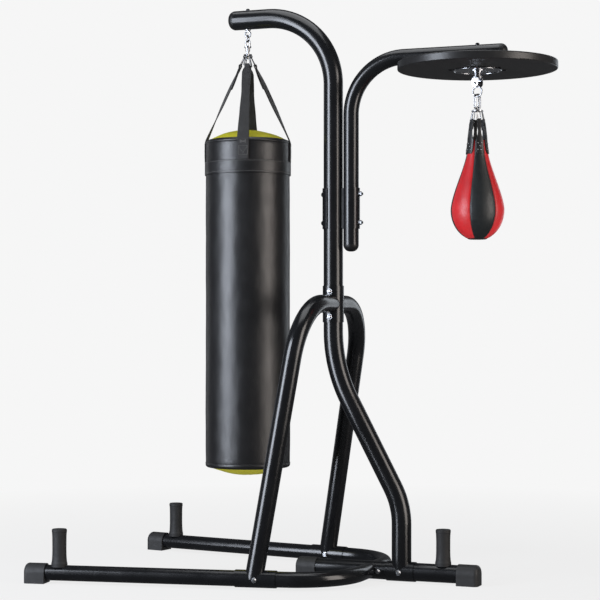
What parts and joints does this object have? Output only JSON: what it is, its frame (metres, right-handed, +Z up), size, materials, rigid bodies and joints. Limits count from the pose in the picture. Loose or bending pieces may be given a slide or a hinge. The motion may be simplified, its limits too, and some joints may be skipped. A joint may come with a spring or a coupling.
{
  "type": "speed bag platform and heavy bag stand",
  "caption": "Free-standing bent-tube boxing stand: a round platform with a swivel and pear-shaped speed bag on one side, a hanging heavy bag on the other.",
  "frame": {"origin": "floor level, under the middle of the object's outline", "axes": "+X from the heavy bag towards the speed bag, +Y away from the side that is seen first, +Z up"},
  "size_m": [1.9572, 1.1532, 2.2572],
  "materials": {
    "frame_paint": "gloss black powder coat",
    "dark_steel": "plain tube, unpainted",
    "bright_steel": "zinc plated",
    "chrome": "polished chrome",
    "black_bolt": "black oxide",
    "cap_plastic": "matte moulded plastic",
    "plug_plastic": "satin moulded plastic",
    "grip_rubber": "matte moulded rubber",
    "board_wood": "semi-gloss black lacquer",
    "bag_leather": "sewn panels, glossy",
    "tab_leather": "black leather",
    "bladder_rubber": "thin rubber",
    "bag_vinyl": "grained vinyl",
    "yellow_vinyl": "grained vinyl",
    "webbing": "woven strap",
    "shredded_fill": "packed shredded cloth"
  },
  "bodies": {
    "stand": {"upper_post": "frame_paint", "upper_post_cap": "plug_plastic", "centre_sleeve": "frame_paint", "centre_sleeve_bolts": "bright_steel", "arch_front_leg": "frame_paint", "arch_rear_leg": "frame_paint", "lower_post": "frame_paint", "post_foot_sleeve": "frame_paint", "base_u_bend": "frame_paint", "inner_stub": "frame_paint", "inner_stub_cap": "cap_plastic", "beam_socket": "frame_paint", "joining_spigot": "dark_steel", "rear_leg": "frame_paint", "rear_leg_cap": "cap_plastic", "beam_bolts": "bright_steel", "front_rail": "frame_paint", "rear_rail": "frame_paint", "front_rail_sleeve": "frame_paint", "rear_rail_sleeve": "frame_paint", "rail_sleeve_bolts": "bright_steel", "front_rail_cap": "cap_plastic", "rear_rail_cap": "cap_plastic", "peg_stubs": "frame_paint", "weight_peg_grips": "grip_rubber", "platform_arm": "frame_paint", "arm_bottom_cap": "plug_plastic", "arm_end_cap": "plug_plastic", "clamp_spacer": "plug_plastic", "post_saddle": "frame_paint", "arm_saddle": "frame_paint", "clamp_bolts": "black_bolt", "clamp_nuts": "bright_steel", "platform_bracket": "frame_paint", "platform_board": "board_wood", "bracket_bolts": "black_bolt", "swivel_plate": "chrome", "swivel_plate_screws": "bright_steel", "swivel_stem": "chrome", "hanger_eye_bolt": "bright_steel"},
    "yoke": {"swivel_yoke": "chrome", "yoke_pin": "bright_steel"},
    "hook": {"hook_ring": "chrome"},
    "speed_bag": {"upper_links": "chrome", "gather_plate": "chrome", "tab_links": "chrome", "speed_bag_tabs": "tab_leather", "tab_rivets": "bright_steel", "speed_bag_shell": "bag_leather", "speed_bag_bladder": "bladder_rubber"},
    "hanger": {"hanger_link": "chrome"},
    "bow": {"swivel_bow": "chrome"},
    "heavy_bag": {"strap_hub": "chrome", "hub_bolt": "bright_steel", "strap_links": "chrome", "bag_straps": "webbing", "heavy_bag_band": "webbing", "heavy_bag_shell": "bag_vinyl", "heavy_bag_top": "yellow_vinyl", "heavy_bag_bottom": "yellow_vinyl", "heavy_bag_fill": "shredded_fill"}
  },
  "joints": [
    {"name": "swivel_spin", "type": "hinge", "parent": "stand", "child": "yoke", "pos_m": [0.6737, 0, 1.934], "axis": [0, 0, 1], "continuous": true},
    {"name": "hook_swing", "type": "hinge", "parent": "yoke", "child": "hook", "pos_m": [0.6737, 0, 1.912], "axis": [0.2334, 0.9724, 0], "range_deg": [-40, 40]},
    {"name": "speed_bag_tilt", "type": "hinge", "parent": "hook", "child": "speed_bag", "pos_m": [0.6737, 0, 1.863], "axis": [0.9724, -0.2334, 0], "range_deg": [-15, 15]},
    {"name": "heavy_bag_swing", "type": "hinge", "parent": "stand", "child": "hanger", "pos_m": [-0.2762, 0, 2.1509], "axis": [0, 1, 0], "range_deg": [-7, 45]},
    {"name": "heavy_bag_sway", "type": "hinge", "parent": "hanger", "child": "bow", "pos_m": [-0.2762, 0, 2.1313], "axis": [1, 0, 0], "range_deg": [-25, 25]},
    {"name": "heavy_bag_spin", "type": "hinge", "parent": "bow", "child": "heavy_bag", "pos_m": [-0.2762, 0, 2.1018], "axis": [0, 0, 1], "continuous": true}
  ]
}
